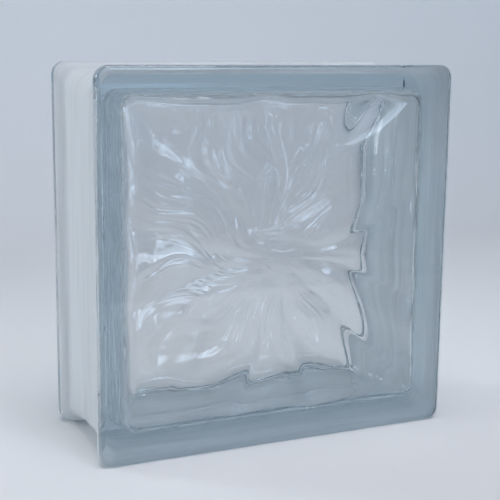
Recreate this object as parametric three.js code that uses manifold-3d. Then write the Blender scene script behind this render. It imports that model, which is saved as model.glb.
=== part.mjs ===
// Hollow glass block for walls: two pressed glass dishes fused face to face round a sealed air space,
// with a channel round the outer edge for the mortar, painted white.
// Millimetres. X is the width, Y the depth with the front face at -Y, Z is up; the origin is the
// middle of the lower edge, where the block stands.
import * as THREE from 'three';
import { mergeVertices } from 'three/addons/utils/BufferGeometryUtils.js';
import Module from 'manifold-3d';

const wasm = await Module();
wasm.setup();

// Outer size
const blockWidth = 190;
const blockHeight = 190;
const blockDepth = 80;

// Outer edge of a half, from the smooth face back to the seam
const faceEdgeRadius = 2; // rounding between the face and the flange
const flangeThickness = 5.2; // full-width flange, with its rounding
const flangeCornerRadius = 6.5;
const slopeRun = 11.5; // the channel's side falls away over this depth
const channelDepth = 4.4; // flange to the glass of the channel floor, under the coat
const seamCornerRadius = 13; // the corners tighten from here out to the flange
const outerBeadHeight = 0.6; // glass squeezed out where the halves fuse
const outerBeadHalfWidth = 4.5;
const seamGap = 0.3; // between the two halves

// Inside of a half, as the plunger leaves it
const faceThickness = 7.2; // between the crests
const wallThickness = 7.1; // side wall at the seam
const plungerDraft = 1.4; // the wall thickens by this towards the face
const innerFilletRadius = 6.2;
const cavityCornerRadius = 10;
const innerBeadHeight = 0.8;
const innerBeadHalfWidth = 3.5;

// Crests pressed into the inner face, fanning out from its middle. Bearing is where a crest meets the
// edge of the face, in degrees from level; height is there too; spread is half the crest's width, in
// degrees; start is where it begins, measured out from the middle.
const crests = [
  { bearing: -18.5, height: 2.95, spread: 15, start: 0 },
  { bearing: 19, height: 1.55, spread: 15, start: 0 },
  { bearing: 57, height: 4.1, spread: 11, start: 55 },
  { bearing: 98, height: 2.05, spread: 15, start: 0 },
  { bearing: 136, height: 2.55, spread: 15, start: 0 },
  { bearing: 166, height: 1.8, spread: 13, start: 0 },
  { bearing: 194, height: 2.05, spread: 13, start: 0 },
  { bearing: 227, height: 0.5, spread: 18, start: 0 },
  { bearing: 252.5, height: 1.3, spread: 13, start: 0 },
  { bearing: 284, height: 3.45, spread: 15, start: 0 },
  { bearing: 315.5, height: 3.35, spread: 15, start: 0 },
];
const crestSoftness = 0.12; // rounding of a crest's top, as a share of its half width
const crestOpening = 7; // degrees by which crests turn away from the face's diagonals on their way out
const openingMiddle = 45; // where they turn most, measured out from the middle
const openingLength = 25;
const crestBegin = 4; // nothing is pressed nearer the middle than this
const faceSides = 4;
const crestRoot = 3; // the crests are rooted this deep in the face
const crestSink = 0.3; // a crest's foot ends this far inside the face's glass
const crestPastWall = 1.5; // and its outer end this far inside the side wall

// White coat in the channel
const coatThickness = 0.5;
const coatMargin = 3.8; // the coat stops this far short of the flange
const coatGap = 0.3; // between the coat and the glass

const cornerSegments = 8;
const edgeSegments = 4;
const slopeSegments = 6;
const beadSegments = 3;
const filletSegments = 5;
const crestColumns = 8;
const crestRows = 9;
const cutOverrun = 2; // the plunger reaches this far past the seam
const mergeDistance = 1e-4;

const halfDepth = blockDepth / 2;
const channelFloorHalf = halfDepth - flangeThickness - slopeRun;
const coatHalfWidth = halfDepth - flangeThickness - coatMargin;
const cavityInset = channelDepth + wallThickness; // inner wall from the outline, at the seam
const cavityInsetAtFace = cavityInset + plungerDraft;
const faceHalf = blockWidth / 2 - cavityInsetAtFace - innerFilletRadius; // of the flat inner face
const innerFaceY = -halfDepth + faceThickness; // of the front half, between the crests

const smooth = (t) => t * t * (3 - 2 * t);
const steps = (count) => Array.from({ length: count + 1 }, (_, i) => i / count);
const bump = (distance, halfWidth) =>
  distance < halfWidth ? 0.5 + 0.5 * Math.cos((Math.PI * distance) / halfWidth) : 0;

// Outline of the block's section at one depth: a rectangle with rounded corners, this far inside
// the full width and height
function outline(inset, cornerRadius) {
  const x = blockWidth / 2 - inset;
  const z = blockHeight / 2 - inset;
  const r = Math.min(cornerRadius, x, z);
  const shape = new THREE.Shape();
  shape.absarc(x - r, z - r, r, 0, Math.PI / 2);
  shape.absarc(-x + r, z - r, r, Math.PI / 2, Math.PI);
  shape.absarc(-x + r, -z + r, r, Math.PI, 1.5 * Math.PI);
  shape.absarc(x - r, -z + r, r, 1.5 * Math.PI, 2 * Math.PI);
  shape.closePath();
  const points = shape.getPoints(cornerSegments / 2);
  points.pop();
  return points;
}

// Solid through a row of sections, each { y, inset, corner }. With its ends open it closes on itself
// as a ring does, otherwise both ends are capped.
function loft(sections, ring = false) {
  const rows = sections.map((s) => outline(s.inset, s.corner));
  const count = rows[0].length;
  const positions = sections.flatMap((s, row) =>
    rows[row].flatMap((p) => [p.x, s.y, p.y + blockHeight / 2]));
  const index = [];
  const lastRow = ring ? rows.length : rows.length - 1;
  for (let row = 0; row < lastRow; row++) {
    const here = row * count;
    const next = ((row + 1) % rows.length) * count;
    for (let i = 0; i < count; i++) {
      const j = (i + 1) % count;
      index.push(here + i, here + j, next + j);
      index.push(here + i, next + j, next + i);
    }
  }
  if (!ring) {
    const end = (rows.length - 1) * count;
    for (const [a, b, c] of THREE.ShapeUtils.triangulateShape(rows[0], [])) index.push(a, c, b);
    for (const [a, b, c] of THREE.ShapeUtils.triangulateShape(rows.at(-1), [])) {
      index.push(end + a, end + b, end + c);
    }
  }
  const geometry = new THREE.BufferGeometry();
  geometry.setAttribute('position', new THREE.Float32BufferAttribute(positions, 3));
  geometry.setIndex(index);
  return geometry;
}

function toSolid(geometry) {
  const bare = geometry.clone();
  bare.deleteAttribute('normal');
  bare.deleteAttribute('uv');
  const merged = mergeVertices(bare, mergeDistance);
  let triVerts = Uint32Array.from(merged.index.array);
  const vertProperties = Float32Array.from(merged.attributes.position.array);
  const make = () => new wasm.Manifold(new wasm.Mesh({ numProp: 3, vertProperties, triVerts }));
  let solid = make();
  if (solid.volume() < 0) {
    triVerts = triVerts.reverse();
    solid = make();
  }
  return solid;
}

function toGeometry(solid) {
  const mesh = solid.getMesh();
  const geometry = new THREE.BufferGeometry();
  geometry.setAttribute('position', new THREE.BufferAttribute(mesh.vertProperties, 3));
  geometry.setIndex(new THREE.BufferAttribute(mesh.triVerts, 1));
  return geometry;
}

// How far the glass of the outer edge lies inside the flange, by distance from the seam
function channelInset(fromSeam) {
  const down = smooth(THREE.MathUtils.clamp((fromSeam - channelFloorHalf) / slopeRun, 0, 1));
  return channelDepth * (1 - down) - outerBeadHeight * bump(fromSeam, outerBeadHalfWidth);
}

function channelCorner(fromSeam) {
  const out = smooth(THREE.MathUtils.clamp(fromSeam / (halfDepth - flangeThickness), 0, 1));
  return THREE.MathUtils.lerp(seamCornerRadius, flangeCornerRadius, out);
}

// Distances from the seam at which the channel's section changes, from the flange inwards
const channelStations = [
  ...steps(slopeSegments).map((t) => channelFloorHalf + slopeRun * (1 - t)),
  (channelFloorHalf + outerBeadHalfWidth) / 2,
  ...steps(beadSegments).map((t) => outerBeadHalfWidth * (1 - t)),
];

// Outer form of the front half, solid, up to the seam
function outerBody() {
  const seam = seamGap / 2;
  const rounding = steps(edgeSegments).map((t) => {
    const inset = faceEdgeRadius * (1 - Math.sin((t * Math.PI) / 2));
    return {
      y: -halfDepth + faceEdgeRadius * (1 - Math.cos((t * Math.PI) / 2)),
      inset,
      corner: flangeCornerRadius - inset,
    };
  });
  const channel = channelStations.map((fromSeam) => ({
    y: -Math.max(fromSeam, seam),
    inset: channelInset(fromSeam),
    corner: channelCorner(fromSeam),
  }));
  return toSolid(loft([...rounding, ...channel]));
}

// Form that the plunger presses: the hollow of the front half, without its crests
function plungerBody() {
  const fillet = steps(filletSegments).map((t) => {
    const side = innerFilletRadius * (1 - Math.sin((t * Math.PI) / 2));
    return {
      y: innerFaceY + innerFilletRadius * (1 - Math.cos((t * Math.PI) / 2)),
      inset: cavityInsetAtFace + side,
      corner: cavityCornerRadius - side,
    };
  });
  const wall = steps(beadSegments).map((t) => {
    const fromSeam = innerBeadHalfWidth * (1 - t);
    return {
      y: -fromSeam,
      inset: cavityInset + innerBeadHeight * bump(fromSeam, innerBeadHalfWidth),
      corner: cavityCornerRadius,
    };
  });
  const past = { ...wall.at(-1), y: cutOverrun };
  return toSolid(loft([...fillet, ...wall, past]));
}

// How far the crests have turned at a distance from the middle, compared with the face's edge
function crestTurn(distance) {
  const turned = (d) => Math.tanh((d - openingMiddle) / openingLength);
  return THREE.MathUtils.degToRad(crestOpening) * (turned(distance) - turned(faceHalf));
}

// Height of a crest, from 0 at its foot to 1 along its top, by the share of its half width
function crestSection(share) {
  const across = Math.hypot(Math.sin((Math.abs(share) * Math.PI) / 2), crestSoftness);
  const foot = Math.hypot(1, crestSoftness);
  return (foot - across) / (foot - crestSoftness);
}

// One crest standing on the inner face, rooted in its glass
function crestSolid({ bearing, height, spread, start }) {
  const reach = blockWidth / 2 - cavityInsetAtFace + crestPastWall;
  const begin = Math.max(start, crestBegin);
  const sideways = Math.sin(faceSides * THREE.MathUtils.degToRad(bearing));
  const wedge = new THREE.BoxGeometry(2, crestRoot, 1, crestColumns, 1, crestRows);
  const position = wedge.attributes.position;
  for (let i = 0; i < position.count; i++) {
    const across = position.getX(i);
    const straight = THREE.MathUtils.degToRad(bearing + across * spread);
    const edge = reach / Math.max(Math.abs(Math.cos(straight)), Math.abs(Math.sin(straight)));
    const distance = THREE.MathUtils.lerp(begin, edge, position.getZ(i) + 0.5);
    const angle = straight + crestTurn(distance) * sideways;
    const x = distance * Math.cos(angle);
    const z = distance * Math.sin(angle);
    const out = (Math.max(Math.abs(x), Math.abs(z)) - start) / (faceHalf - start);
    const rise = height * Math.max(out, 0) * crestSection(across);
    const top = rise > 0 ? rise : -crestSink;
    const lift = position.getY(i) > 0 ? top : -crestRoot;
    position.setXYZ(i, x, innerFaceY + lift, z + blockHeight / 2);
  }
  return toSolid(wedge);
}

// The pressed dish, its smooth face at -Y
function pressedHalf() {
  const dish = outerBody().subtract(plungerBody());
  return toGeometry(crests.reduce((solid, crest) => solid.add(crestSolid(crest)), dish));
}

// White coat: a thin sleeve that follows the channel floor and its slopes right round
function coatSleeve() {
  const inner = channelStations.filter((fromSeam) => fromSeam < coatHalfWidth);
  const oneSide = [coatHalfWidth, ...inner];
  const fromSeams = [...oneSide.map((d) => -d), ...oneSide.slice(0, -1).reverse()];
  const layer = (lift) => fromSeams.map((y) => ({
    y,
    inset: channelInset(Math.abs(y)) - lift,
    corner: channelCorner(Math.abs(y)) + lift,
  }));
  return toGeometry(toSolid(loft([
    ...layer(coatGap),
    ...layer(coatGap + coatThickness).reverse(),
  ], true)));
}

const glass = { color: 0xa9bdc6, roughness: 0.05, metalness: 0, transparent: true, opacity: 0.45 };

const half = pressedHalf();

const frontHalf = new THREE.Mesh(half, new THREE.MeshStandardMaterial(glass));
frontHalf.name = 'front_half';

const backHalf = new THREE.Mesh(half.clone(), new THREE.MeshStandardMaterial(glass));
backHalf.name = 'back_half';
backHalf.rotation.z = Math.PI;

const coat = new THREE.MeshStandardMaterial({ color: 0xe4e7ee, roughness: 0.6, metalness: 0 });
const edgeCoating = new THREE.Mesh(coatSleeve(), coat);
edgeCoating.name = 'edge_coating';

const glassBlock = new THREE.Group();
glassBlock.add(frontHalf, backHalf, edgeCoating);

export default glassBlock;
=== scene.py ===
import math

import bmesh
import bpy
from mathutils import Matrix, Vector, noise


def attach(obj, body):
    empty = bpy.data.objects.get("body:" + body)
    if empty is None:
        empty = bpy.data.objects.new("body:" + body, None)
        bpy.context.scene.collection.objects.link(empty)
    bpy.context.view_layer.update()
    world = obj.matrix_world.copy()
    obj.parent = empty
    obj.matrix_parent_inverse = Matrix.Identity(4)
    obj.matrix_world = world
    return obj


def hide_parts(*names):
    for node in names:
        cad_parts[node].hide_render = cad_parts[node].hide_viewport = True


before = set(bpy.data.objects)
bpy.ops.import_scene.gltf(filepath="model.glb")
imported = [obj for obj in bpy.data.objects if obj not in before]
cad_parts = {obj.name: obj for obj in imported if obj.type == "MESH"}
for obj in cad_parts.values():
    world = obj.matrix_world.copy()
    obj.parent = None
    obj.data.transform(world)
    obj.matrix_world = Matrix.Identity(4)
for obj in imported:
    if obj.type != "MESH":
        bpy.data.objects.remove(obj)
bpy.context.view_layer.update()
print("frame loaded")

# The block's section, in metres, as pressed
block = {
    "width": 0.190,
    "height": 0.190,
    "depth": 0.080,
    "faceEdge": 0.002,  # rounding between face and flange
    "flange": 0.0052,
    "flangeCorner": 0.0065,
    "slopeRun": 0.0115,
    "channelDepth": 0.0044,  # to the glass under the coat
    "seamCorner": 0.013,  # the corners tighten from here out to the flange
    "beadHeight": 0.0006,
    "beadHalfWidth": 0.0045,
    "face": 0.0072,  # glass between the waves
    "wall": 0.0071,
    "draft": 0.0014,
    "fillet": 0.0062,
    "wallCorner": 0.0045,  # the walls' corners are this much wider than the flat face's
    "innerBead": 0.0008,
    "innerBeadHalfWidth": 0.0035,
    "innerCorner": 0.0025,  # outline corner of the flat inner face
}

# How finely the forms are made
facets = {
    "corner": 12,
    "faceEdge": 8,
    "slope": 16,
    "floor": 6,
    "bead": 6,
    "fillet": 10,
    "wallRings": (0.96, 0.5, 0.04),  # shares of the way from the inner bead to the fillet
    "innerAcross": 120,  # cuts along a side of the waved face
    "innerRows": 60,  # from its edge to its middle
    "flatMargin": 0.0004,  # extra outlines this near the ends of a flat keep it flat
    "capBorder": 0.0012,  # a narrow border keeps the shading of the outer faces flat
    "merge": 1e-6,
}
midHeight = block["height"] / 2
halfDepth = block["depth"] / 2


def smooth(t):
    t = min(max(t, 0.0), 1.0)
    return t * t * (3 - 2 * t)


def bump(distance, halfWidth):
    return 0.5 + 0.5 * math.cos(math.pi * distance / halfWidth) if distance < halfWidth else 0.0


def steps(count):
    return [i / count for i in range(count + 1)]


def newObject(name, bm):
    mesh = bpy.data.meshes.new(name)
    bm.to_mesh(mesh)
    bm.free()
    piece = bpy.data.objects.new(name, mesh)
    bpy.context.scene.collection.objects.link(piece)
    return piece


# Loop of edges: the block's outline at one depth, so far inside its full width and height
def outlineLoop(bm, y, inset, corner):
    made = bmesh.ops.create_circle(bm, segments=4, radius=math.sqrt(2))
    turn = Matrix.Rotation(math.radians(45), 4, "Z")
    stand = Matrix.Rotation(math.radians(90), 4, "X")
    size = Matrix.Diagonal((block["width"] / 2 - inset, 1, block["height"] / 2 - inset, 1))
    place = Matrix.Translation((0, y, midHeight))
    bmesh.ops.transform(bm, matrix=place @ size @ stand @ turn, verts=made["verts"])
    beveled = bmesh.ops.bevel(
        bm, geom=made["verts"], offset=corner, offset_type="OFFSET", segments=facets["corner"],
        affect="VERTICES", profile=0.5, material=-1,
    )
    verts = {v for v in beveled["verts"] if v.is_valid} | {v for v in made["verts"] if v.is_valid}
    return list({e for v in verts for e in v.link_edges})


# How far the channel's glass lies inside the flange
def channelInset(fromSeam):
    floorHalf = halfDepth - block["flange"] - block["slopeRun"]
    down = smooth((fromSeam - floorHalf) / block["slopeRun"])
    bead = block["beadHeight"] * bump(fromSeam, block["beadHalfWidth"])
    return block["channelDepth"] * (1 - down) - bead


def channelCorner(fromSeam):
    out = smooth(fromSeam / (halfDepth - block["flange"]))
    return block["seamCorner"] + (block["flangeCorner"] - block["seamCorner"]) * out


# Outlines of the outer form from the front face to the back, as (y, inset, corner)
def outerStations():
    edge = block["faceEdge"]
    floorHalf = halfDepth - block["flange"] - block["slopeRun"]
    half = []
    for t in steps(facets["faceEdge"]):
        inset = edge * (1 - math.sin(t * math.pi / 2))
        back = edge * (1 - math.cos(t * math.pi / 2))
        half.append((halfDepth - back, inset, block["flangeCorner"] - inset))
    margin = facets["flatMargin"]
    flats = [halfDepth - edge - margin, halfDepth - block["flange"] + margin]
    slope = [floorHalf + block["slopeRun"] * (1 - t) for t in steps(facets["slope"])]
    floor = [floorHalf + (block["beadHalfWidth"] - floorHalf) * t for t in steps(facets["floor"])[1:-1]]
    bead = [block["beadHalfWidth"] * (1 - t) for t in steps(facets["bead"])]
    for fromSeam in flats + slope + floor + bead:
        half.append((fromSeam, channelInset(fromSeam), channelCorner(fromSeam)))
    front = [(-y, inset, corner) for y, inset, corner in half]
    back = list(reversed(half))[1:]
    return front + back


def outerShell(bm):
    loops = [outlineLoop(bm, *station) for station in outerStations()]
    for here, there in zip(loops, loops[1:]):
        bmesh.ops.bridge_loops(bm, edges=here + there)
    for end in (loops[0], loops[-1]):
        cap = bmesh.ops.contextual_create(bm, geom=end)["faces"]
        bmesh.ops.inset_region(bm, faces=cap, thickness=facets["capBorder"], use_even_offset=True)


# Crests pressed into the inner faces, fanning out from the middle. Bearing is where a crest meets the
# edge of the face, in degrees from level; height is there too; spread is half the crest's width, in
# degrees; start is where it begins, measured out from the middle.
crests = [
    {"bearing": -18.5, "height": 0.00295, "spread": 15, "start": 0},
    {"bearing": 19, "height": 0.00155, "spread": 15, "start": 0},
    {"bearing": 57, "height": 0.0041, "spread": 11, "start": 0.055},
    {"bearing": 98, "height": 0.00205, "spread": 15, "start": 0},
    {"bearing": 136, "height": 0.00255, "spread": 15, "start": 0},
    {"bearing": 166, "height": 0.0018, "spread": 13, "start": 0},
    {"bearing": 194, "height": 0.00205, "spread": 13, "start": 0},
    {"bearing": 227, "height": 0.0005, "spread": 18, "start": 0},
    {"bearing": 252.5, "height": 0.0013, "spread": 13, "start": 0},
    {"bearing": 284, "height": 0.00345, "spread": 15, "start": 0},
    {"bearing": 315.5, "height": 0.00335, "spread": 15, "start": 0},
]
fan = {
    "softness": 0.12,  # rounding of a crest's top, as a share of its half width
    "opening": 7,  # degrees by which crests turn away from the diagonals on their way out
    "openingMiddle": 0.045,
    "openingLength": 0.025,
    "sides": 4,
    "clear": 0.03,  # they only reach their full height this far from the middle
    "reach": 1.08,  # and grow until this share of the way to the edge of the flat face
}
faceHalf = block["width"] / 2 - block["channelDepth"] - block["wall"] - block["draft"] - block["fillet"]


# How far the crests have turned at a distance from the middle, compared with the face's edge
def crestTurn(distance):
    here = math.tanh((distance - fan["openingMiddle"]) / fan["openingLength"])
    edge = math.tanh((faceHalf - fan["openingMiddle"]) / fan["openingLength"])
    return math.radians(fan["opening"]) * (here - edge)


# Height of a crest, from 0 at its foot to 1 along its top, by the share of its half width
def crestSection(share):
    across = math.hypot(math.sin(min(share, 1) * math.pi / 2), fan["softness"])
    foot = math.hypot(1, fan["softness"])
    return (foot - across) / (foot - fan["softness"])


# Relief at a point of the face, with x to the right as one looks at that face from outside
def crestHeight(x, z):
    distance = math.hypot(x, z)
    angle = math.atan2(z, x)
    turn = crestTurn(distance)
    out = min(max(abs(x), abs(z)), faceHalf * fan["reach"])
    rise = 0.0
    for crest in crests:
        bearing = math.radians(crest["bearing"])
        top = bearing + turn * math.sin(fan["sides"] * bearing)
        away = abs((angle - top + math.pi) % (2 * math.pi) - math.pi)
        share = away / math.radians(crest["spread"])
        if share < 1 and out > crest["start"]:
            grown = (out - crest["start"]) / (faceHalf - crest["start"])
            rise += crest["height"] * grown * crestSection(share)
    return rise * smooth(distance / fan["clear"])


# Finer ripples, left to the shader: some run out from the middle of each face over the crests, level
# swirls fill its middle, and waves follow the inner walls
ripple = {
    "height": 0.0023,  # at the face's edge
    "around": 8.0,  # ripples in the space of a radian
    "along": 0.045,  # their length
    "bend": 0.020,  # how far they wander, and over what length
    "bendLength": 0.035,
    "clear": (0.010, 0.030),  # none nearer the middle than the first, full from the second on
    "edge": 0.86,  # they fade out from this share of the way to the edge
    "right": 0.032,  # there are none past this far to the right of the middle
    "low": -0.052,  # nor below this height
    "fade": 0.014,
    "detail": 1.4,
    "curl": 0.5,
    "seed": 5.3,
    "swirlHeight": 0.0012,
    "swirlLength": 0.040,
    "swirlDepth": 0.025,
    "swirlWidth": 0.012,
    "swirlReach": (0.015, 0.050),  # full out to the first, none past the second
    "wallHeight": 0.0013,
    "wallLength": 0.040,
    "wallWidth": 0.008,
}


# Where a point lies among the ripples that run outwards, with their own size as the unit. They wander
# from side to side, so they don't all meet in the middle.
def ripplePoint(x, z, seed):
    here = Vector((x, z, 0)) / ripple["bendLength"]
    x += ripple["bend"] * noise.noise(here + Vector((0, 0, seed)))
    z += ripple["bend"] * noise.noise(here - Vector((0, 0, seed)))
    angle = math.atan2(z, x)
    around = ripple["around"]
    along = math.hypot(x, z) / ripple["along"] + seed
    return Vector((around * math.cos(angle), around * math.sin(angle), along))


# How high the ripples and the swirls stand there, in metres
def rippleHeights(x, z):
    distance = math.hypot(x, z)
    out = max(abs(x), abs(z)) / faceHalf
    near, far = ripple["clear"]
    share = 1 - smooth((out - ripple["edge"]) / (1 - ripple["edge"]))
    calm = smooth((ripple["right"] - x) / ripple["fade"]) * smooth((z - ripple["low"]) / ripple["fade"])
    share *= smooth((distance - near) / (far - near)) * distance / faceHalf * calm
    near, far = ripple["swirlReach"]
    middle = (1 - smooth((distance - near) / (far - near))) * calm
    return Vector((ripple["height"] * share, ripple["swirlHeight"] * middle, 0))


# Where a point of the inner outline goes when the outline gets this inset, corner and depth
def offsetPoint(co, inset, corner, y):
    coreX = block["width"] / 2 - inset - corner
    coreZ = block["height"] / 2 - inset - corner
    x, z = co.x, co.z - midHeight
    core = Vector((min(max(x, -coreX), coreX), 0, min(max(z, -coreZ), coreZ)))
    out = (Vector((x, 0, z)) - core).normalized()
    return core + out * corner + Vector((0, y, midHeight))


# What the glass's bump reads: where a point lies among the ripples, and how high each kind stands there
def addLayers(bm):
    for name in ("ripples", "rippleHeights"):
        bm.verts.layers.float_vector.new(name)


# Inside of one half, from the middle of the waved face outwards: face, fillet, wall, seam
def innerHalf(side):
    bm = bmesh.new()
    addLayers(bm)
    faceInset = block["channelDepth"] + block["wall"] + block["draft"] + block["fillet"]
    faceY = halfDepth - block["face"]
    loop = outlineLoop(bm, side * faceY, faceInset, block["innerCorner"])
    straight = [e for e in loop if e.calc_length() > faceHalf]
    bmesh.ops.subdivide_edges(bm, edges=straight, cuts=facets["innerAcross"])
    rim = list(bm.edges)
    outerRim = list(rim)
    ripples = bm.verts.layers.float_vector["ripples"]
    heights = bm.verts.layers.float_vector["rippleHeights"]

    def relief(co):
        return crestHeight(co.x * -side, co.z - midHeight)

    def mark(v):
        x, z = v.co.x * -side, v.co.z - midHeight
        v[ripples] = ripplePoint(x, z, ripple["seed"] * side)
        v[heights] = rippleHeights(x, z)

    middle = Vector((0, side * faceY, midHeight))
    for v in bm.verts:
        v.co.y = side * (faceY - relief(v.co))
    rows = facets["innerRows"]
    shares = [1 - i / rows for i in range(rows)]
    for here, there in zip(shares, shares[1:]):
        grown = bmesh.ops.extrude_edge_only(bm, edges=rim)["geom"]
        rim = [g for g in grown if isinstance(g, bmesh.types.BMEdge)]
        for v in {v for e in rim for v in e.verts}:
            flat = Vector((v.co.x, side * faceY, v.co.z))
            v.co = middle + (flat - middle) * (there / here)
            v.co.y = side * (faceY - relief(v.co))
            mark(v)
    bmesh.ops.contextual_create(bm, geom=rim)

    cavityInset = block["channelDepth"] + block["wall"]
    rings = []
    for t in steps(facets["fillet"])[1:]:
        reach = block["fillet"] * math.sin(t * math.pi / 2)
        drop = block["fillet"] * (1 - math.cos(t * math.pi / 2))
        grow = block["wallCorner"] * reach / block["fillet"]
        rings.append((faceY - drop, faceInset - reach, block["innerCorner"] + grow, (1 - t) ** 2))
    wallTop = faceY - block["fillet"]
    corner = block["innerCorner"] + block["wallCorner"]
    for share in facets["wallRings"]:
        y = block["innerBeadHalfWidth"] + (wallTop - block["innerBeadHalfWidth"]) * share
        rings.append((y, cavityInset + block["draft"] * share, corner, 0))
    for t in steps(facets["bead"]):
        y = block["innerBeadHalfWidth"] * (1 - t)
        bead = block["innerBead"] * bump(y, block["innerBeadHalfWidth"])
        rings.append((y, cavityInset + bead, corner, 0))
    rim = outerRim
    for y, inset, corner, waveShare in rings:
        grown = bmesh.ops.extrude_edge_only(bm, edges=rim)["geom"]
        rim = [g for g in grown if isinstance(g, bmesh.types.BMEdge)]
        for v in {v for e in rim for v in e.verts}:
            v.co = offsetPoint(v.co, inset, corner, side * y)
            v.co.y -= side * relief(v.co) * waveShare
            v[heights] = Vector((0, 0, ripple["wallHeight"] * (1 - waveShare)))
    half = bpy.data.meshes.new("half")
    bm.to_mesh(half)
    bm.free()
    return half


glassLook = {
    "ior": 1.52,
    "film": (0.93, 0.93, 0.93),  # light keeps the square root of this at each surface it crosses
    "absorbs": 7.4,  # of red light, per metre of glass
    "tint": (0.0, 0.295, 0.43),  # share of that which each colour is spared
}


# Joins two sockets by one sum, and gives the socket with the result
def mathNode(tree, operation, a, b):
    node = tree.nodes.new("ShaderNodeMath")
    node.operation = operation
    tree.links.new(a, node.inputs[0])
    tree.links.new(b, node.inputs[1])
    return node.outputs["Value"]


# Soft noise, as high as the mesh says
def rippleWave(tree, coordinates, height):
    wave = tree.nodes.new("ShaderNodeTexNoise")
    wave.inputs["Scale"].default_value = 1.0
    wave.inputs["Detail"].default_value = ripple["detail"]
    wave.inputs["Distortion"].default_value = ripple["curl"]
    tree.links.new(coordinates, wave.inputs["Vector"])
    return mathNode(tree, "MULTIPLY", wave.outputs["Fac"], height)


# Object coordinates with the size of a pattern as their unit
def stretched(tree, size):
    place = tree.nodes.new("ShaderNodeTexCoord")
    stretch = tree.nodes.new("ShaderNodeMapping")
    stretch.inputs["Scale"].default_value = [1 / length for length in size]
    tree.links.new(place.outputs["Object"], stretch.inputs["Vector"])
    return stretch.outputs["Vector"]


# Bump for the ripples and the swirls on the inner faces, and for the waves on the inner walls
def reliefNormal(tree):
    lies = tree.nodes.new("ShaderNodeAttribute")
    lies.attribute_name = "ripples"
    stands = tree.nodes.new("ShaderNodeAttribute")
    stands.attribute_name = "rippleHeights"
    apart = tree.nodes.new("ShaderNodeSeparateXYZ")
    tree.links.new(stands.outputs["Vector"], apart.inputs["Vector"])
    swirls = stretched(tree, (ripple["swirlLength"], ripple["swirlDepth"], ripple["swirlWidth"]))
    walls = stretched(tree, (ripple["wallLength"], ripple["wallWidth"], ripple["wallLength"]))
    total = rippleWave(tree, lies.outputs["Vector"], apart.outputs["X"])
    for coordinates, height in ((swirls, "Y"), (walls, "Z")):
        wave = rippleWave(tree, coordinates, apart.outputs[height])
        total = mathNode(tree, "ADD", total, wave)
    bend = tree.nodes.new("ShaderNodeBump")
    bend.inputs["Distance"].default_value = 1.0
    tree.links.new(total, bend.inputs["Height"])
    return bend.outputs["Normal"]


def glassMaterial():
    mat = bpy.data.materials.new("clearGlass")
    mat.use_nodes = True
    nodes, links = mat.node_tree.nodes, mat.node_tree.links
    shader = nodes["Principled BSDF"]
    shader.inputs["Base Color"].default_value = (*glassLook["film"], 1)
    shader.inputs["Roughness"].default_value = 0.0
    shader.inputs["IOR"].default_value = glassLook["ior"]
    shader.inputs["Transmission Weight"].default_value = 1.0
    links.new(reliefNormal(mat.node_tree), shader.inputs["Normal"])
    tint = nodes.new("ShaderNodeVolumeAbsorption")
    tint.inputs["Color"].default_value = (*glassLook["tint"], 1)
    tint.inputs["Density"].default_value = glassLook["absorbs"]
    links.new(tint.outputs["Volume"], nodes["Material Output"].inputs["Volume"])
    return mat


paint = {
    "thin": 0.92,  # tone where the brush left less, as a share of the full tone
    "roughness": 0.6,
    "gloss": 0.3,
    "streakLength": 0.06,
    "streakWidth": 0.0025,
    "streakDetail": 3.0,
    "streakRange": (0.3, 0.55),  # noise from thin to full
    "grain": 900,
    "grainHeight": 0.00004,
}


# Paint that lets part of the light through, with brush streaks that follow the channel
def coatMaterial(name, tone, through):
    mat = bpy.data.materials.new(name)
    mat.use_nodes = True
    nodes, links = mat.node_tree.nodes, mat.node_tree.links
    place = nodes.new("ShaderNodeTexCoord")
    along, across = paint["streakLength"], paint["streakWidth"]
    brushed = stretched(mat.node_tree, (along, across, along))
    streaks = nodes.new("ShaderNodeTexNoise")
    streaks.inputs["Scale"].default_value = 1.0
    streaks.inputs["Detail"].default_value = paint["streakDetail"]
    spread = nodes.new("ShaderNodeMapRange")
    low, high = paint["streakRange"]
    spread.inputs["From Min"].default_value = low
    spread.inputs["From Max"].default_value = high
    shade = nodes.new("ShaderNodeMix")
    shade.data_type = "RGBA"
    thin = [paint["thin"] * c for c in tone]
    shade.inputs["A"].default_value = (*thin, 1)
    shade.inputs["B"].default_value = (*tone, 1)
    grain = nodes.new("ShaderNodeTexNoise")
    grain.inputs["Scale"].default_value = paint["grain"]
    rough = nodes.new("ShaderNodeBump")
    rough.inputs["Distance"].default_value = paint["grainHeight"]
    shader = nodes["Principled BSDF"]
    shader.inputs["Roughness"].default_value = paint["roughness"]
    shader.inputs["Specular IOR Level"].default_value = paint["gloss"]
    passing = nodes.new("ShaderNodeBsdfTranslucent")
    mix = nodes.new("ShaderNodeMixShader")
    mix.inputs["Fac"].default_value = through
    links.new(brushed, streaks.inputs["Vector"])
    links.new(streaks.outputs["Fac"], spread.inputs["Value"])
    links.new(spread.outputs["Result"], shade.inputs["Factor"])
    links.new(place.outputs["Object"], grain.inputs["Vector"])
    links.new(grain.outputs["Fac"], rough.inputs["Height"])
    links.new(shade.outputs["Result"], shader.inputs["Base Color"])
    links.new(shade.outputs["Result"], passing.inputs["Color"])
    links.new(rough.outputs["Normal"], shader.inputs["Normal"])
    links.new(shader.outputs["BSDF"], mix.inputs[1])
    links.new(passing.outputs["BSDF"], mix.inputs[2])
    links.new(mix.outputs["Shader"], nodes["Material Output"].inputs["Surface"])
    return mat


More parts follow.
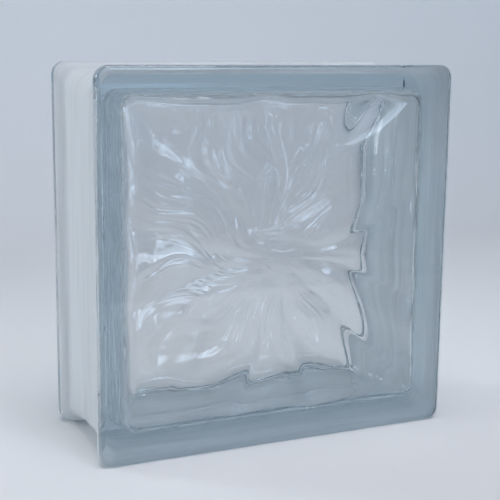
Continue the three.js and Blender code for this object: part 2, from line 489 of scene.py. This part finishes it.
coat = {
    "halfWidth": 0.0344,  # reaches this far to each side of the seam
    "lift": 0.0008,  # outer surface over the glass
    "root": 0.00006,  # the paint's inner surface lies this deep in the glass's skin
    "feather": 0.004,  # thins out over this distance towards its edge
}
glassClear = glassMaterial()
coatWhite = coatMaterial("whiteCoat", (0.96, 0.96, 0.96), 0.5)
coatUnder = coatMaterial("coatBehindGlass", (0.985, 0.985, 0.985), 0.6)


# One fused glass body: its outer form, and its hollow with the faces turned inwards
def buildGlass():
    outer = bmesh.new()
    addLayers(outer)
    outerShell(outer)
    bmesh.ops.remove_doubles(outer, verts=outer.verts, dist=facets["merge"])
    bmesh.ops.recalc_face_normals(outer, faces=outer.faces)
    inner = bmesh.new()
    addLayers(inner)
    for half in (innerHalf(-1), innerHalf(1)):
        inner.from_mesh(half)
        bpy.data.meshes.remove(half)
    bmesh.ops.remove_doubles(inner, verts=inner.verts, dist=facets["merge"])
    bmesh.ops.recalc_face_normals(inner, faces=inner.faces)
    bmesh.ops.reverse_faces(inner, faces=inner.faces)
    hollow = bpy.data.meshes.new("hollow")
    inner.to_mesh(hollow)
    inner.free()
    outer.from_mesh(hollow)
    bpy.data.meshes.remove(hollow)
    for face in outer.faces:
        face.smooth = True
    glass = newObject("glassBody", outer)
    glass.data.materials.append(glassClear)
    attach(glass, "root")
    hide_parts("front_half", "back_half")
    return glass


glassBody = buildGlass()
print("glass body", len(glassBody.data.polygons), "faces")


# White coat: a thin sleeve on the channel's floor and slopes, right round the block
def buildCoat():
    bm = bmesh.new()
    depths = [y for y, _, _ in outerStations() if abs(y) < coat["halfWidth"]]
    depths = [-coat["halfWidth"]] + depths + [coat["halfWidth"]]

    def layer(lift, rows):
        made = []
        for y in rows:
            fromSeam = abs(y)
            thin = smooth((coat["halfWidth"] - fromSeam) / coat["feather"])
            rise = (lift + coat["root"]) * thin - coat["root"]
            inset, corner = channelInset(fromSeam), channelCorner(fromSeam)
            made.append(outlineLoop(bm, y, inset - rise, corner + rise))
        return made

    outside = layer(coat["lift"], depths)
    inside = layer(-coat["root"], list(reversed(depths[1:-1])))
    for here, there in zip(outside, outside[1:]):
        bmesh.ops.bridge_loops(bm, edges=here + there)
    around = outside[-1:] + inside + outside[:1]
    for here, there in zip(around, around[1:]):
        for face in bmesh.ops.bridge_loops(bm, edges=here + there)["faces"]:
            face.material_index = 1
    bmesh.ops.recalc_face_normals(bm, faces=bm.faces)
    for face in bm.faces:
        face.smooth = True
    sleeve = newObject("coatSleeve", bm)
    sleeve.data.materials.append(coatWhite)
    sleeve.data.materials.append(coatUnder)
    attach(sleeve, "root")
    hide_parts("edge_coating")
    return sleeve


coatSleeve = buildCoat()
print("coat", len(coatSleeve.data.polygons), "faces")


backdrop = {
    "halfWidth": 4,
    "front": -0.36,
    "floor": 0.81,  # from the front edge to where it starts to rise
    "bend": 0.35,
    "bendFacets": 24,
    "height": 2.5,
    "tone": (0.80, 0.80, 0.80),
    "roughness": 0.9,
    "gloss": 0.1,
}


def paperMaterial():
    mat = bpy.data.materials.new("sweepPaper")
    mat.use_nodes = True
    shader = mat.node_tree.nodes["Principled BSDF"]
    shader.inputs["Base Color"].default_value = (*backdrop["tone"], 1)
    shader.inputs["Roughness"].default_value = backdrop["roughness"]
    shader.inputs["Specular IOR Level"].default_value = backdrop["gloss"]
    return mat


# Pale floor that sweeps up into a backdrop
def buildSweep():
    bm = bmesh.new()
    half = backdrop["halfWidth"]
    ends = [bm.verts.new((x, backdrop["front"], 0)) for x in (-half, half)]
    edges = [bm.edges.new(ends)]

    def pull(dy, dz):
        nonlocal edges
        grown = bmesh.ops.extrude_edge_only(bm, edges=edges)["geom"]
        verts = [g for g in grown if isinstance(g, bmesh.types.BMVert)]
        bmesh.ops.translate(bm, vec=(0, dy, dz), verts=verts)
        edges = [g for g in grown if isinstance(g, bmesh.types.BMEdge)]

    pull(backdrop["floor"], 0)
    turns = [t * math.pi / 2 for t in steps(backdrop["bendFacets"])]
    for a, b in zip(turns, turns[1:]):
        forward, upward = math.sin(b) - math.sin(a), math.cos(a) - math.cos(b)
        pull(backdrop["bend"] * forward, backdrop["bend"] * upward)
    pull(0, backdrop["height"])
    for face in bm.faces:
        face.smooth = True
    sweep = newObject("sweep", bm)
    sweep.data.materials.append(paperMaterial())
    return sweep


buildSweep()
print("stage")


# Softboxes: where they stand and point, their sides in metres, how far they spread in degrees
lamps = [
    {"name": "topBox", "place": (0, -0.35, 1.5), "aim": (0, -0.35, 0), "size": (1.0, 1.0),
     "spread": 110, "power": 4.5, "tone": (1.0, 0.98, 1.0)},
    {"name": "leftBox", "place": (-0.85, 0.75, 0.3), "aim": (0, 0, 0.1), "size": (0.5, 0.5),
     "spread": 70, "power": 1.45, "tone": (0.9, 0.97, 1.0)},
    {"name": "lowBox", "place": (0.12, 0.22, 0.7), "aim": (0.12, 0.2, 0), "size": (0.2, 0.2),
     "spread": 40, "power": 0.018, "tone": (0.7, 0.9, 1.0)},
]


def addLamp(row):
    light = bpy.data.lights.new(row["name"], "AREA")
    light.shape = "RECTANGLE"
    light.size, light.size_y = row["size"]
    light.spread = math.radians(row["spread"])
    light.energy = row["power"]
    light.color = row["tone"]
    lamp = bpy.data.objects.new(row["name"], light)
    toward = Vector(row["aim"]) - Vector(row["place"])
    turn = toward.to_track_quat("-Z", "Y").to_matrix().to_4x4()
    lamp.matrix_world = Matrix.Translation(row["place"]) @ turn
    bpy.context.scene.collection.objects.link(lamp)


for row in lamps:
    addLamp(row)

# Light from all round, with soft glows as of lamps behind cloth, which show only in reflections. A glow
# is full out to its core and fades to nothing at its rim, both in degrees from its middle.
sky = {
    "tone": (0.575, 0.67, 0.80),
    "front": 0.38,
    "back": 0.0,
    "under": 0.45,  # from a little below the level of the floor down
    "underFrom": -0.06,
    "surround": 0.85,  # what is seen straight on or through the glass instead
}
glows = [
    {"name": "rightGlow", "toward": (0.36, -0.87, 0.34), "core": 2, "rim": 12, "strength": 7.0},
    {"name": "midGlow", "toward": (0.12, -0.94, 0.30), "core": 1, "rim": 9, "strength": 7.0},
    {"name": "windowA", "toward": (0.34, -0.93, 0.12), "core": 1, "rim": 4, "strength": 8.0},
    {"name": "windowB", "toward": (0.24, -0.96, 0.13), "core": 1, "rim": 5, "strength": 9.0},
    {"name": "windowC", "toward": (0.33, -0.92, 0.20), "core": 1, "rim": 6, "strength": 7.0},
    {"name": "lowGlow", "toward": (0.10, -0.98, -0.15), "core": 1, "rim": 7, "strength": 7.0},
    {"name": "highGlow", "toward": (0.10, -0.65, 0.76), "core": 2, "rim": 18, "strength": 2.0},
]


def addSky():
    world = bpy.data.worlds.new("studio")
    world.use_nodes = True
    tree = world.node_tree
    nodes, links = tree.nodes, tree.links
    shade = nodes["Background"]
    shade.inputs["Color"].default_value = (*sky["tone"], 1)
    toward = nodes.new("ShaderNodeTexCoord")
    axes = nodes.new("ShaderNodeSeparateXYZ")
    ramp = nodes.new("ShaderNodeMapRange")
    ramp.inputs["From Min"].default_value = -1
    ramp.inputs["To Min"].default_value = sky["front"]
    ramp.inputs["To Max"].default_value = sky["back"]
    links.new(toward.outputs["Generated"], axes.inputs["Vector"])
    links.new(axes.outputs["Y"], ramp.inputs["Value"])
    below = nodes.new("ShaderNodeMapRange")
    below.inputs["From Min"].default_value = 0
    below.inputs["From Max"].default_value = sky["underFrom"]
    links.new(axes.outputs["Z"], below.inputs["Value"])
    dim = nodes.new("ShaderNodeMix")
    dim.inputs["B"].default_value = sky["under"]
    links.new(below.outputs["Result"], dim.inputs["Factor"])
    links.new(ramp.outputs["Result"], dim.inputs["A"])
    total = dim.outputs["Result"]
    for glow in glows:
        near = nodes.new("ShaderNodeVectorMath")
        near.operation = "DOT_PRODUCT"
        near.inputs[1].default_value = Vector(glow["toward"]).normalized()
        fade = nodes.new("ShaderNodeMapRange")
        fade.interpolation_type = "SMOOTHSTEP"
        fade.inputs["From Min"].default_value = math.cos(math.radians(glow["rim"]))
        fade.inputs["From Max"].default_value = math.cos(math.radians(glow["core"]))
        fade.inputs["To Max"].default_value = glow["strength"]
        links.new(toward.outputs["Generated"], near.inputs[0])
        links.new(near.outputs["Value"], fade.inputs["Value"])
        total = mathNode(tree, "ADD", total, fade.outputs["Result"])
    path = nodes.new("ShaderNodeLightPath").outputs
    straight = mathNode(tree, "ADD", path["Is Camera Ray"], path["Is Transmission Ray"])
    turned = mathNode(tree, "ADD", path["Glossy Depth"], path["Diffuse Depth"])
    seen = nodes.new("ShaderNodeMix")
    seen.inputs["B"].default_value = sky["surround"]
    links.new(mathNode(tree, "SUBTRACT", straight, turned), seen.inputs["Factor"])
    links.new(total, seen.inputs["A"])
    links.new(seen.outputs["Result"], shade.inputs["Strength"])
    bpy.context.scene.world = world


addSky()
print("lamps and sky")

view = {
    "focal": 1109.84,  # in pixels
    "frame": 500,
    "sensor": 36,
    "azimuth": -24.803,
    "elevation": 10.764,
    "roll": 0.637,
    "distance": 0.584683,
    "target": (-0.000522, 0, 0.092855),
}


def addCamera():
    camera = bpy.data.cameras.new("camera")
    camera.sensor_width = view["sensor"]
    camera.lens = view["focal"] * view["sensor"] / view["frame"]
    camera.clip_start = 0.01
    holder = bpy.data.objects.new("camera", camera)
    bpy.context.scene.collection.objects.link(holder)
    a, e = math.radians(view["azimuth"]), math.radians(view["elevation"])
    back = Vector((math.sin(a) * math.cos(e), -math.cos(a) * math.cos(e), math.sin(e)))
    place = Vector(view["target"]) + back * view["distance"]
    look = back.to_track_quat("Z", "Y").to_matrix().to_4x4()
    roll = Matrix.Rotation(math.radians(view["roll"]), 4, "Z")
    holder.matrix_world = Matrix.Translation(place) @ look @ roll
    bpy.context.scene.camera = holder


addCamera()
print("camera")

scene = bpy.context.scene
scene.view_settings.view_transform = "Standard"
scene.cycles.max_bounces = 48
scene.cycles.transmission_bounces = 48
scene.cycles.diffuse_bounces = 24
scene.cycles.glossy_bounces = 32
scene.cycles.blur_glossy = 0.0  # the paint is seen through clear glass, so its light stays sharp
